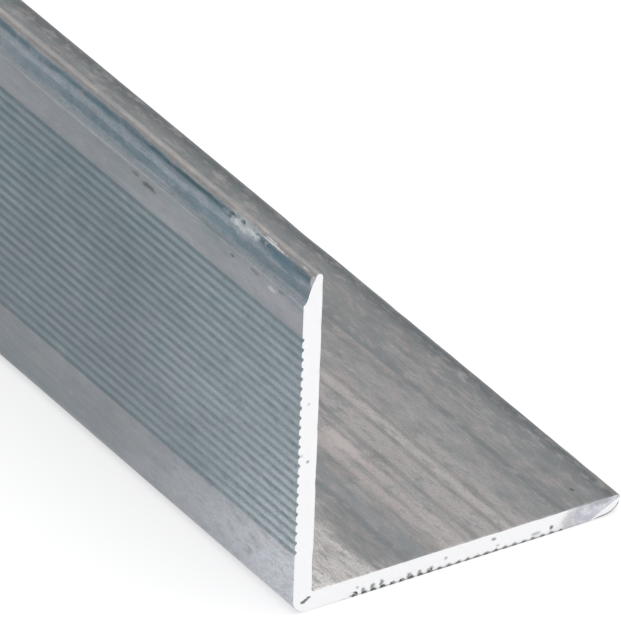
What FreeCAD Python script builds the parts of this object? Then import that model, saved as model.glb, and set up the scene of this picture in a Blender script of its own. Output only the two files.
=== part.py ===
import FreeCAD, Part
import math
import os
import Sketcher

# Ribbed aluminium edge angle for flight cases, one extruded length, in millimetres.
# +X runs along the leg that lies on the floor, +Z up the upright leg and +Y along the length.
# The origin is at the middle of the length and of the floor leg, on the floor.

SIZES = {
    "length": 1000.0,
    "leg": 35.0,
    "wall": 2.0,
    "outer_radius": 1.6,
    "inner_radius": 0.3,
    "nose_radius": 0.45,
    "bevel_height": 2.9,
    "bevel_step": 0.25,
    "heel_band": 6.6,
    "tip_band": 3.5,
    "groove_pitch": 1.0,
    "groove_width": 0.5,
    "groove_depth": 0.2,
    "groove_root_radius": 0.15,
}
NODE = "angle_profile"

# The number of grooves between the plain band at the heel and the plain band under the bevel.
GROOVES = "floor((s.leg - s.bevel_height - s.tip_band - s.heel_band) / s.groove_pitch + 0.001) + 1"

# Places on a sketch element, and the sketch's own horizontal axis, which starts at the origin.
START = 1
END = 2
CENTRE = 3
HORIZONTAL_AXIS = -1
ORIGIN = (HORIZONTAL_AXIS, START)


def make_sheet(doc):
    """Write each driving size into its own cell, with the size's name as the cell's alias."""
    sheet = doc.addObject("Spreadsheet::Sheet", "sizes")
    for row, (name, value) in enumerate(SIZES.items(), start=1):
        sheet.set(f"A{row}", name)
        sheet.set(f"B{row}", str(value))
        sheet.setAlias(f"B{row}", name)
    doc.recompute()
    return sheet


def bind(thing, path, formula):
    """Bind one property of an object to a formula, in which s stands for the sheet of sizes."""
    thing.setExpression(path, formula.replace("s.", "sizes."))


def new_sketch(body, name):
    """Make a sketch on the body's own XZ plane, where the section of the angle lies."""
    sketch = body.newObject("Sketcher::SketchObject", name)
    plane = next(f for f in body.Origin.OriginFeatures if f.Role == "XZ_Plane")
    sketch.AttachmentSupport = [(plane, "")]
    sketch.MapMode = "FlatFace"
    return sketch


def vector(point):
    """Make a sketch vector from a pair of coordinates."""
    return FreeCAD.Vector(point[0], point[1], 0.0)


def add_line(sketch, start, end, construction=False):
    """Add a straight line between two points."""
    return sketch.addGeometry(Part.LineSegment(vector(start), vector(end)), construction)


def add_arc(sketch, centre, radius, start, end):
    """Add the arc about a centre that runs anticlockwise from a start point to an end point."""
    first = math.atan2(start[1] - centre[1], start[0] - centre[0])
    last = math.atan2(end[1] - centre[1], end[0] - centre[0])
    circle = Part.Circle(vector(centre), FreeCAD.Vector(0.0, 0.0, 1.0), radius)
    return sketch.addGeometry(Part.ArcOfCircle(circle, first, last), False)


def constrain(sketch, kind, *elements):
    """Add a constraint without a size."""
    return sketch.addConstraint(Sketcher.Constraint(kind, *elements))


def measure(sketch, kind, elements, formula, value):
    """Add a constraint with a size, and bind the size to a formula of the sheet."""
    index = sketch.addConstraint(Sketcher.Constraint(kind, *elements, value))
    bind(sketch, f"Constraints[{index}]", formula)
    return index


def tangent_from(point, centre, radius, side):
    """Find where a line from a point touches a circle, on its left (+1) or right (-1) side."""
    reach_x = centre[0] - point[0]
    reach_y = centre[1] - point[1]
    reach = math.hypot(reach_x, reach_y)
    length = math.sqrt(reach * reach - radius * radius)
    direction = math.atan2(reach_y, reach_x) + side * math.asin(radius / reach)
    return (point[0] + length * math.cos(direction), point[1] + length * math.sin(direction))


class Leg:
    """One leg of the section, with its points given as a depth under the outer face and a height
    from the heel.
    """

    def __init__(self, upright):
        self.upright = upright
        self.lengthwise = "DistanceY" if upright else "DistanceX"
        self.across = "DistanceX" if upright else "DistanceY"
        self.parallel = "Vertical" if upright else "Horizontal"
        # How far the tip is from the origin along the leg, and how high the origin is on the leg.
        self.tip = "s.leg" if upright else "s.leg / 2"
        self.origin_height = 0.0 if upright else SIZES["leg"] / 2

    def at(self, depth, height):
        """Place a point of the leg in the sketch."""
        heel = -SIZES["leg"] / 2
        if self.upright:
            return (heel + depth, height)
        return (heel + height, depth)


def add_leg_outline(sketch, leg):
    """Draw one leg from its outer face round the bevelled tip to its inner face."""
    step_size = SIZES["bevel_step"]
    nose_radius = SIZES["nose_radius"]
    bevel_foot = SIZES["leg"] - SIZES["bevel_height"]
    shoulder = (step_size, bevel_foot + step_size)
    centre = (SIZES["wall"] - nose_radius, SIZES["leg"] - nose_radius)
    touch = tangent_from(shoulder, centre, nose_radius, 1)
    nose_end = (SIZES["wall"], centre[1])
    inner_foot = (SIZES["wall"], SIZES["wall"] + SIZES["inner_radius"])

    outer = add_line(sketch, leg.at(0.0, SIZES["outer_radius"]), leg.at(0.0, bevel_foot))
    step = add_line(sketch, leg.at(0.0, bevel_foot), leg.at(*shoulder))
    bevel = add_line(sketch, leg.at(*shoulder), leg.at(*touch))
    inner = add_line(sketch, leg.at(*nose_end), leg.at(*inner_foot))
    # An arc is drawn anticlockwise, which on the upright leg is from the inner face to the bevel.
    first, last = (nose_end, touch) if leg.upright else (touch, nose_end)
    nose = add_arc(sketch, leg.at(*centre), nose_radius, leg.at(*first), leg.at(*last))
    at_inner, at_bevel = (START, END) if leg.upright else (END, START)

    constrain(sketch, leg.parallel, outer)
    constrain(sketch, leg.parallel, inner)
    constrain(sketch, "Coincident", outer, END, step, START)
    constrain(sketch, "Coincident", step, END, bevel, START)
    constrain(sketch, "Tangent", bevel, END, nose, at_bevel)
    constrain(sketch, "Tangent", inner, START, nose, at_inner)

    foot_height = bevel_foot - leg.origin_height
    nose_height = centre[1] - leg.origin_height
    to_foot = (*ORIGIN, outer, END)
    to_nose = (*ORIGIN, nose, CENTRE)
    measure(sketch, leg.lengthwise, to_foot, f"{leg.tip} - s.bevel_height", foot_height)
    measure(sketch, leg.lengthwise, to_nose, f"{leg.tip} - s.nose_radius", nose_height)
    measure(sketch, leg.lengthwise, (outer, END, step, END), "s.bevel_step", step_size)
    measure(sketch, leg.across, (outer, END, step, END), "s.bevel_step", step_size)
    measure(sketch, leg.across, (outer, START, inner, END), "s.wall", SIZES["wall"])
    measure(sketch, "Radius", (nose,), "s.nose_radius", nose_radius)
    return outer, inner


def add_section(body):
    """Draw the whole section: the two legs, the rounded heel and the inner corner between them."""
    sketch = new_sketch(body, "section")
    upright = Leg(upright=True)
    upright_outer, upright_inner = add_leg_outline(sketch, upright)
    floor_outer, floor_inner = add_leg_outline(sketch, Leg(upright=False))

    radius = SIZES["outer_radius"]
    centre = upright.at(radius, radius)
    heel = add_arc(sketch, centre, radius, upright.at(0.0, radius), upright.at(radius, 0.0))
    constrain(sketch, "Tangent", upright_outer, START, heel, START)
    constrain(sketch, "Tangent", floor_outer, START, heel, END)
    measure(sketch, "Radius", (heel,), "s.outer_radius", radius)

    radius = SIZES["inner_radius"]
    face = SIZES["wall"]
    centre = upright.at(face + radius, face + radius)
    first = upright.at(face, face + radius)
    last = upright.at(face + radius, face)
    corner = add_arc(sketch, centre, radius, first, last)
    constrain(sketch, "Tangent", upright_inner, END, corner, START)
    constrain(sketch, "Tangent", floor_inner, END, corner, END)
    measure(sketch, "Radius", (corner,), "s.inner_radius", radius)

    constrain(sketch, "PointOnObject", floor_outer, END, HORIZONTAL_AXIS)
    measure(sketch, "DistanceX", (upright_outer, END, *ORIGIN), "s.leg / 2", SIZES["leg"] / 2)
    return sketch


def add_bar(body, section):
    """Extrude the section, half the length to each side of the plane that it lies on."""
    bar = body.newObject("PartDesign::Pad", "bar")
    bar.Profile = section
    bind(bar, "Length", "s.length")
    bar.SideType = "Symmetric"
    return bar


def add_groove_outline(body, leg, name):
    """Draw the groove nearest the heel: two flanks that meet a round root under the outer face."""
    sketch = new_sketch(body, name)
    half = SIZES["groove_width"] / 2
    radius = SIZES["groove_root_radius"]
    middle = SIZES["heel_band"]
    centre = (SIZES["groove_depth"] - radius, middle)
    low = (0.0, middle - half)
    high = (0.0, middle + half)
    low_touch = tangent_from(low, centre, radius, -1)
    high_touch = tangent_from(high, centre, radius, 1)

    mouth = add_line(sketch, leg.at(*high), leg.at(*low))
    low_flank = add_line(sketch, leg.at(*low), leg.at(*low_touch))
    high_flank = add_line(sketch, leg.at(*high_touch), leg.at(*high))
    first, last = (low_touch, high_touch) if leg.upright else (high_touch, low_touch)
    root = add_arc(sketch, leg.at(*centre), radius, leg.at(*first), leg.at(*last))
    at_low, at_high = (START, END) if leg.upright else (END, START)

    constrain(sketch, leg.parallel, mouth)
    constrain(sketch, "Coincident", mouth, END, low_flank, START)
    constrain(sketch, "Coincident", high_flank, END, mouth, START)
    constrain(sketch, "Tangent", low_flank, END, root, at_low)
    constrain(sketch, "Tangent", high_flank, START, root, at_high)
    width = (low_flank, START, high_flank, END)
    to_root = (low_flank, START, root, CENTRE)
    under_mouth = (mouth, START, root, CENTRE)
    measure(sketch, "Radius", (root,), "s.groove_root_radius", radius)
    measure(sketch, leg.lengthwise, width, "s.groove_width", SIZES["groove_width"])
    measure(sketch, leg.lengthwise, to_root, "s.groove_width / 2", half)
    measure(sketch, leg.across, under_mouth, "s.groove_depth - s.groove_root_radius", centre[0])
    half_leg = SIZES["leg"] / 2
    if leg.upright:
        measure(sketch, "DistanceY", (*ORIGIN, root, CENTRE), "s.heel_band", middle)
        measure(sketch, "DistanceX", (mouth, END, *ORIGIN), "s.leg / 2", half_leg)
    else:
        to_origin = (root, CENTRE, *ORIGIN)
        measure(sketch, "DistanceX", to_origin, "s.leg / 2 - s.heel_band", half_leg - middle)
        constrain(sketch, "PointOnObject", mouth, END, HORIZONTAL_AXIS)
    return sketch


def add_grooves(doc, body, leg, name):
    """Cut one groove along the whole length, and repeat it along the leg at the ribs' pitch."""
    outline = add_groove_outline(body, leg, f"{name}_outline")
    doc.recompute()
    before = body.Tip.Shape.Volume
    groove = body.newObject("PartDesign::Pocket", f"{name}_first")
    groove.Profile = outline
    groove.SideType = "Symmetric"
    groove.Type = "ThroughAll"
    doc.recompute()
    if groove.Shape.Volume >= before:
        raise RuntimeError(f"{name}: the groove cuts nothing")
    ribs = body.newObject("PartDesign::LinearPattern", name)
    ribs.Originals = [groove]
    ribs.Direction = (outline, ["V_Axis" if leg.upright else "H_Axis"])
    bind(ribs, "Occurrences", GROOVES)
    bind(ribs, "Length", f"({GROOVES} - 1) * s.groove_pitch")
    body.Tip = ribs
    doc.recompute()
    if ribs.Shape.Volume >= groove.Shape.Volume:
        raise RuntimeError(f"{name}: the pattern adds no grooves")
    return ribs


def check(doc, body):
    """Stop if any object failed, or if the body isn't one valid solid."""
    for thing in doc.Objects:
        if "Invalid" in thing.State or "Error" in thing.State:
            raise RuntimeError(f"{thing.Name} failed: {thing.State}")
    shape = body.Shape
    if shape.isNull() or not shape.isValid():
        raise RuntimeError(f"{body.Label} has no valid shape")
    if len(shape.Solids) != 1:
        raise RuntimeError(f"{body.Label} has {len(shape.Solids)} solids")


def main():
    """Build the angle and write its STEP file."""
    doc = FreeCAD.newDocument("flight_case_angle")
    make_sheet(doc)
    body = doc.addObject("PartDesign::Body", "angle")
    body.Label = NODE
    section = add_section(body)
    doc.recompute()
    add_bar(body, section)
    doc.recompute()
    add_grooves(doc, body, Leg(upright=True), "upright_grooves")
    add_grooves(doc, body, Leg(upright=False), "floor_grooves")
    doc.recompute()
    check(doc, body)
    os.makedirs("parts", exist_ok=True)
    body.Shape.exportStep(f"parts/{body.Label}.step")
    box = body.Shape.BoundBox
    print(f"{body.Label}: {box.XLength:.2f} x {box.YLength:.2f} x {box.ZLength:.2f} mm")
    print(f"volume {body.Shape.Volume:.0f} mm3, {len(body.Shape.Faces)} faces")


main()
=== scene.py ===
"""Looks for one length of ribbed aluminium edge angle for flight cases.

The bar lies along Y with one leg on the floor and one upright. Its near end, at the lowest Y, is the
end that the photograph shows. Sizes are in millimetres in the classes and in metres in Blender.
"""

import logging
import math
from dataclasses import dataclass
from enum import Enum

import bmesh
import bpy
from mathutils import Matrix, Vector, noise

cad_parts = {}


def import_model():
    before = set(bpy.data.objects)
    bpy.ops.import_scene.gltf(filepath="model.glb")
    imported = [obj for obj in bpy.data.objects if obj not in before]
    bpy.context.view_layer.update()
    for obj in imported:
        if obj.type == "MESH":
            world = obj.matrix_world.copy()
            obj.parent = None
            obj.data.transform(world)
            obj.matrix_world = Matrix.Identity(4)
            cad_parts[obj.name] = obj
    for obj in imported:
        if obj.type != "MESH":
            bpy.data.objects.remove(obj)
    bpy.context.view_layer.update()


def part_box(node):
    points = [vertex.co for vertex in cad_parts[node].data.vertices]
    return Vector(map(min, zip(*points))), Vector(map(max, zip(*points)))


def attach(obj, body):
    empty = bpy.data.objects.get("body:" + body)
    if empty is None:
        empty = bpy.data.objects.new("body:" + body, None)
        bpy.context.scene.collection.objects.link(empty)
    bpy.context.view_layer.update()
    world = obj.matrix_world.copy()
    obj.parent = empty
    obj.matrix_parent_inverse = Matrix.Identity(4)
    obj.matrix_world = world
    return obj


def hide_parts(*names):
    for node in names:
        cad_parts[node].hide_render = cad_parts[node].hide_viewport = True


LOG = logging.getLogger("edge_angle")
MM = 0.001
CAD_NODE = "angle_profile"
PIECE = "ribbed_angle"

# A mark with this reach along Y runs the whole length of the bar.
WHOLE_LENGTH = 4000.0
# This is added before rounding down, so that grooves that fit exactly are counted.
ROUNDING = 0.001
# The share of a short slanting step that lies along each axis.
DIAGONAL = 0.7
# Where two faces meet at more than this angle, their edge stays sharp.
SHARP_ANGLE_DEG = 32.0
# How fast a nick fades, and where it ends, both against the square of the distance in its own reaches.
NICK_FALL = 1.6
NICK_END = 6.0
# The ranges of a noise value, or of a distance, over which a mask goes from nothing to full.
CLOUD_EDGE = (0.38, 0.62)
HIGH_SPOTS = (0.5, 0.72)
LOW_SPOTS = (0.5, 0.28)
MARK_EDGE = (1.0, 0.35)
TORN_EDGE = (1.6, 0.9)
# How much longer than wide the waves are that make streaks waver.
WANDER_STRETCH = 3.0
# How many features of the scratches and of the saw's lines fit in a millimetre along their own run.
SCRATCH_RUN = 0.12
SAW_RUN = 0.25
# How far above its threshold a scratch is at its full strength.
SCRATCH_EDGE = 0.05
# How far the torn spots take to start at the first groove and to end before the last.
TORN_START = 0.2
TORN_END = 0.5
# Where the shade of a groove starts and where it is full, as shares of the groove's width.
SHADE_RIM = 0.6
SHADE_FULL = 0.2

Point2 = tuple[float, float]
Point3 = tuple[float, float, float]
Colour = tuple[float, float, float]
Socket = bpy.types.NodeSocket
Sockets = dict[str, Socket]


class Leg(Enum):
    """The two legs of the angle."""

    UPRIGHT = "upright"
    FLOOR = "floor"


class Surface(Enum):
    """The finishes of the bar, in the order of its material slots."""

    PLAIN = 0
    RIBBED = 1
    BEVEL = 2
    NOSE = 3
    INNER = 4
    SAWN = 5
    TORN = 6


@dataclass(frozen=True)
class Corner:
    """One point of the section, with the finish of the surface that leads on from it.

    The depth is measured in from the leg's outer face, and the height along the leg from the heel.
    """

    depth: float
    height: float
    surface: Surface


@dataclass(frozen=True)
class Section:
    """The section of the angle, in millimetres, as the part's source has it, with its edges eased."""

    leg: float
    wall: float = 2.0
    outer_radius: float = 1.6
    inner_radius: float = 0.3
    nose_radius: float = 0.45
    bevel_height: float = 2.9
    bevel_step: float = 0.25
    heel_band: float = 6.6
    tip_band: float = 3.5
    groove_pitch: float = 1.0
    groove_width: float = 0.5
    groove_depth: float = 0.2
    groove_root_radius: float = 0.15
    lip_ease: float = 0.045
    root_steps: int = 4
    nose_steps: int = 10
    corner_steps: int = 4
    heel_steps: int = 8
    inner_face_spans: int = 44
    bevel_shares: tuple[float, ...] = (0.0, 0.03, 0.12, 0.22, 0.32, 0.42, 0.52, 0.62, 0.72, 0.81, 0.9)

    @property
    def heel(self) -> float:
        """Give where the heel is along X, with the bar's middle at 0."""
        return -self.leg / 2

    def groove_heights(self) -> list[float]:
        """List where the grooves' middles are along a leg.

        Returns:
            Their heights, for as many grooves as fit between the plain bands at the heel and the tip.
        """
        room = self.leg - self.bevel_height - self.tip_band - self.heel_band
        count = math.floor(room / self.groove_pitch + ROUNDING) + 1
        return [self.heel_band + i * self.groove_pitch for i in range(count)]

    def arc(self, centre: Point2, radius: float, first: float, last: float, steps: int) -> list[Point2]:
        """Walk along an arc.

        Args:
            centre: The arc's centre, as depth and height.
            radius: The arc's radius.
            first: The angle at which the arc starts, in degrees from the depth direction.
            last: The angle at which it ends.
            steps: How many straight steps stand for it.

        Returns:
            The points from the first angle to the last, both included.
        """
        turns = [math.radians(first + (last - first) * i / steps) for i in range(steps + 1)]
        return [(centre[0] + radius * math.cos(t), centre[1] + radius * math.sin(t)) for t in turns]

    def groove(self, middle: float) -> list[Point2]:
        """Walk across one groove towards the tip.

        Args:
            middle: The height of the groove's middle.

        Returns:
            The points from the groove's eased lower lip to its eased upper lip.
        """
        half = self.groove_width / 2
        centre_depth = self.groove_depth - self.groove_root_radius
        reach = math.hypot(half, centre_depth)
        flank = math.atan2(centre_depth, half) + math.asin(self.groove_root_radius / reach)
        ease = self.lip_ease
        lower = [
            (0.0, middle - half - ease),
            (ease * math.sin(flank), middle - half + ease * math.cos(flank)),
        ]
        swing = 90.0 - math.degrees(flank)
        root = self.arc((centre_depth, middle), self.groove_root_radius, -swing, swing, self.root_steps)
        upper = [(depth, 2 * middle - height) for depth, height in reversed(lower)]
        return lower + root + upper

    def leg_outline(self) -> list[Corner]:
        """Walk one leg.

        Returns:
            The corners from the end of the heel's arc, over the tip, to the start of the inner corner.
        """
        corners = [Corner(0.0, self.outer_radius, Surface.PLAIN)]
        for middle in self.groove_heights():
            corners += [Corner(depth, height, Surface.RIBBED) for depth, height in self.groove(middle)]
        corners[-1] = Corner(corners[-1].depth, corners[-1].height, Surface.PLAIN)
        foot = self.leg - self.bevel_height
        shoulder = (self.bevel_step, foot + self.bevel_step)
        eased = self.lip_ease * DIAGONAL
        corners.append(Corner(0.0, foot - self.lip_ease, Surface.PLAIN))
        corners.append(Corner(eased, foot + eased, Surface.PLAIN))
        centre = (self.wall - self.nose_radius, self.leg - self.nose_radius)
        reach = math.hypot(centre[0] - shoulder[0], centre[1] - shoulder[1])
        rise = math.atan2(centre[1] - shoulder[1], centre[0] - shoulder[0])
        slope = rise + math.asin(self.nose_radius / reach)
        touch = math.degrees(slope) + 90.0
        bevel_end = self.arc(centre, self.nose_radius, touch, touch, 1)[0]
        for share in self.bevel_shares:
            depth = shoulder[0] + (bevel_end[0] - shoulder[0]) * share
            height = shoulder[1] + (bevel_end[1] - shoulder[1]) * share
            corners.append(Corner(depth, height, Surface.BEVEL))
        nose = self.arc(centre, self.nose_radius, touch, 0.0, self.nose_steps)
        corners += [Corner(depth, height, Surface.NOSE) for depth, height in nose[:-1]]
        top = self.leg - self.nose_radius
        low = self.wall + self.inner_radius
        for step in range(self.inner_face_spans + 1):
            height = top + (low - top) * step / self.inner_face_spans
            corners.append(Corner(self.wall, height, Surface.INNER))
        return corners

    def place(self, leg: Leg, depth: float, height: float) -> Point2:
        """Turn a depth and height on a leg into X and Z in the bar's frame."""
        return (self.heel + depth, height) if leg is Leg.UPRIGHT else (self.heel + height, depth)

    def outline(self) -> list[tuple[Point2, Surface]]:
        """Walk the whole section once round.

        Returns:
            Each point's X and Z, and the finish of the surface from that point to the next.
        """
        upright = self.leg_outline()
        loop = [(self.place(Leg.UPRIGHT, c.depth, c.height), c.surface) for c in upright]
        face = self.wall + self.inner_radius
        corner = self.arc((face, face), self.inner_radius, 180.0, 270.0, self.corner_steps)[1:-1]
        loop += [(self.place(Leg.UPRIGHT, depth, height), Surface.INNER) for depth, height in corner]
        floor = list(reversed(upright))
        kinds = [c.surface for c in floor[1:]] + [Surface.PLAIN]
        loop += [(self.place(Leg.FLOOR, c.depth, c.height), kind) for c, kind in zip(floor, kinds)]
        radius = self.outer_radius
        heel = self.arc((radius, radius), radius, 270.0, 180.0, self.heel_steps)[1:-1]
        loop += [(self.place(Leg.UPRIGHT, depth, height), Surface.PLAIN) for depth, height in heel]
        return loop


@dataclass(frozen=True)
class Nick:
    """A dent or tear near the cut end: where it is, how far it reaches and how deep it goes."""

    leg: Leg
    along: float
    depth: float
    height: float
    length: float
    width: float
    bite: float


@dataclass(frozen=True)
class Burr:
    """A thin flap that the saw has pushed over the edge of the cut, as heights and depths on a leg.

    Its rim has the finish of its face up to the point of its edge at which the rim is torn.
    """

    leg: Leg
    edge: tuple[Point2, ...]
    torn_from: int = 0
    face: Surface = Surface.SAWN
    thickness: float = 0.14
    rim: float = 0.16
    rim_slope: float = 0.4
    set_back: float = 0.02


@dataclass
class AngleBar:
    """The whole length of angle as one mesh, finest near the end that the photograph shows.

    Each pair in ring_spans says how far a stretch reaches from the near end and how far apart its rings
    stand. The far end has rings as far in from it as far_rings says.
    """

    section: Section
    near: float
    far: float
    nicks: tuple[Nick, ...] = ()
    burrs: tuple[Burr, ...] = ()
    edge_ease: float = 0.03
    edge_wave: float = 0.09
    edge_reach: float = 0.1
    wave_across: float = 0.8
    wave_along: float = 0.01
    nose_ripple: float = 0.03
    ripple_along: float = 0.45
    ripple_lift: float = 0.35
    ripple_start: float = 1.2
    ripple_blend: float = 0.9
    floor_seed: float = 40.0
    edge_rings: tuple[float, ...] = (0.0, 0.5, 1.0, 2.0, 3.5)
    ring_spans: tuple[Point2, ...] = ((16.0, 0.25), (40.0, 0.75), (60.0, 2.0), (100.0, 5.0))
    middle_spans: int = 14
    far_rings: tuple[float, ...] = (5.0, 1.0, 0.3)

    def stations(self) -> list[float]:
        """List how far from the near end the rings of the mesh stand.

        Returns:
            The distances, from the near end to the far end.
        """
        length = self.far - self.near
        reach = [self.edge_reach * share for share in self.edge_rings]
        for span, step in self.ring_spans:
            while reach[-1] + step <= span:
                reach.append(reach[-1] + step)
        tail = [length - back for back in (*self.far_rings, self.edge_reach, 0.0)]
        gap = (tail[0] - reach[-1]) / self.middle_spans
        middle = [reach[-1] + gap * i for i in range(1, self.middle_spans)]
        return reach + middle + tail

    def bite_at(self, leg: Leg, along: float, depth: float, height: float) -> float:
        """Add up how deep the nicks go at one point of a leg.

        Args:
            leg: The leg that the point is on.
            along: How far the point is from the near end.
            depth: How far it is in from the leg's outer face.
            height: How far it is along the leg from the heel.

        Returns:
            The depth of all nicks together there.
        """
        total = 0.0
        for nick in self.nicks:
            if nick.leg is not leg:
                continue
            run = (along - nick.along) / nick.length
            across = math.hypot(depth - nick.depth, height - nick.height) / nick.width
            fall = run * run + across * across
            if fall < NICK_END:
                total += nick.bite * math.exp(-NICK_FALL * fall)
        return total

    def inward(self, loop: list[Point2]) -> list[Vector]:
        """Find the direction to the inside at each point of a loop.

        Args:
            loop: The points' X and Z, clockwise.

        Returns:
            One direction for each point.
        """
        count = len(loop)
        runs = [Vector(loop[(i + 1) % count]) - Vector(loop[i - 1]) for i in range(count)]
        return [Vector((run.y, -run.x)).normalized() for run in runs]

    def worn(self, spot: Point2, inward: Vector, along: float) -> Vector:
        """Move one point of the mesh by what use and the saw have done there.

        Args:
            spot: The point's X and Z on the clean section.
            inward: The direction into the metal.
            along: How far the point is from the near end.

        Returns:
            The point's X and Z on the worn bar.
        """
        size = self.section
        heel = size.heel
        upright = spot[1] > spot[0] - heel
        depth, height = (spot[0] - heel, spot[1]) if upright else (spot[1], spot[0] - heel)
        bite = self.bite_at(Leg.UPRIGHT if upright else Leg.FLOOR, along, depth, height)
        near_tip = max(0.0, min(1.0, (height - size.leg + self.ripple_start) / self.ripple_blend))
        rippled = Vector((0.0 if upright else self.floor_seed, along * self.ripple_along, 0.0))
        ripple = self.nose_ripple * near_tip * max(0.0, noise.noise(rippled) + self.ripple_lift)
        from_end = min(along, self.far - self.near - along)
        waved = Vector((spot[0] * self.wave_across, along * self.wave_along, spot[1] * self.wave_across))
        wave = self.edge_wave * max(0.0, noise.noise(waved))
        ease = (self.edge_ease + wave) * max(0.0, 1.0 - from_end / self.edge_reach)
        return Vector(spot) + inward * (bite + ripple + ease)

    def add_burr(self, mesh: bmesh.types.BMesh, burr: Burr) -> None:
        """Add one flap behind the cut: a face inside a torn rim, with a torn back.

        Args:
            mesh: The bar's mesh.
            burr: The flap.
        """
        rim = [self.section.place(burr.leg, depth, height) for height, depth in burr.edge]
        face = [Vector(spot) + lean * burr.rim for spot, lean in zip(rim, self.inward(rim))]
        front = self.near + burr.set_back
        count = len(rim)
        inner = [mesh.verts.new((spot.x, front, spot.y)) for spot in face]
        outer = [mesh.verts.new((x, front + burr.rim * burr.rim_slope, z)) for x, z in rim]
        back = [mesh.verts.new((x, front + burr.thickness, z)) for x, z in rim]
        mesh.faces.new(inner).material_index = burr.face.value
        mesh.faces.new(list(reversed(back))).material_index = Surface.TORN.value
        for first, second in ((inner, outer), (outer, back)):
            for i in range(count):
                j = (i + 1) % count
                side = mesh.faces.new((first[i], second[i], second[j], first[j]))
                side.material_index = (burr.face if i < burr.torn_from else Surface.TORN).value

    def build(self) -> bpy.types.Object:
        """Make the mesh ring by ring, close its two ends and add the flaps.

        Returns:
            The bar as a Blender object, without materials.
        """
        outline = self.section.outline()
        loop = [point for point, _ in outline]
        surfaces = [surface for _, surface in outline]
        inward = self.inward(loop)
        mesh = bmesh.new()
        rings = []
        for along in self.stations():
            y = self.near + along
            spots = [self.worn(spot, lean, along) for spot, lean in zip(loop, inward)]
            rings.append([mesh.verts.new((s.x, y, s.y)) for s in spots])
        count = len(loop)
        for first, second in zip(rings, rings[1:]):
            for i in range(count):
                j = (i + 1) % count
                face = mesh.faces.new((first[i], second[i], second[j], first[j]))
                face.material_index = surfaces[i].value
                face.smooth = True
        for ring in (rings[0], list(reversed(rings[-1]))):
            cap = mesh.faces.new(ring)
            cap.material_index = Surface.SAWN.value
            cap.normal_update()
            bmesh.ops.triangulate(mesh, faces=[cap])
        for burr in self.burrs:
            self.add_burr(mesh, burr)
        bmesh.ops.recalc_face_normals(mesh, faces=mesh.faces)
        data = bpy.data.meshes.new(PIECE)
        mesh.to_mesh(data)
        mesh.free()
        data.transform(Matrix.Scale(MM, 4))
        data.set_sharp_from_angle(angle=math.radians(SHARP_ANGLE_DEG))
        bar = bpy.data.objects.new(PIECE, data)
        bpy.context.scene.collection.objects.link(bar)
        return bar

    def dress(self, bar: bpy.types.Object, finishes: dict[Surface, bpy.types.Material]) -> None:
        """Give the bar its finishes, in the order of its material slots.

        Args:
            bar: The bar.
            finishes: Each surface's material.
        """
        for surface in Surface:
            bar.data.materials.append(finishes[surface])


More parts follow.
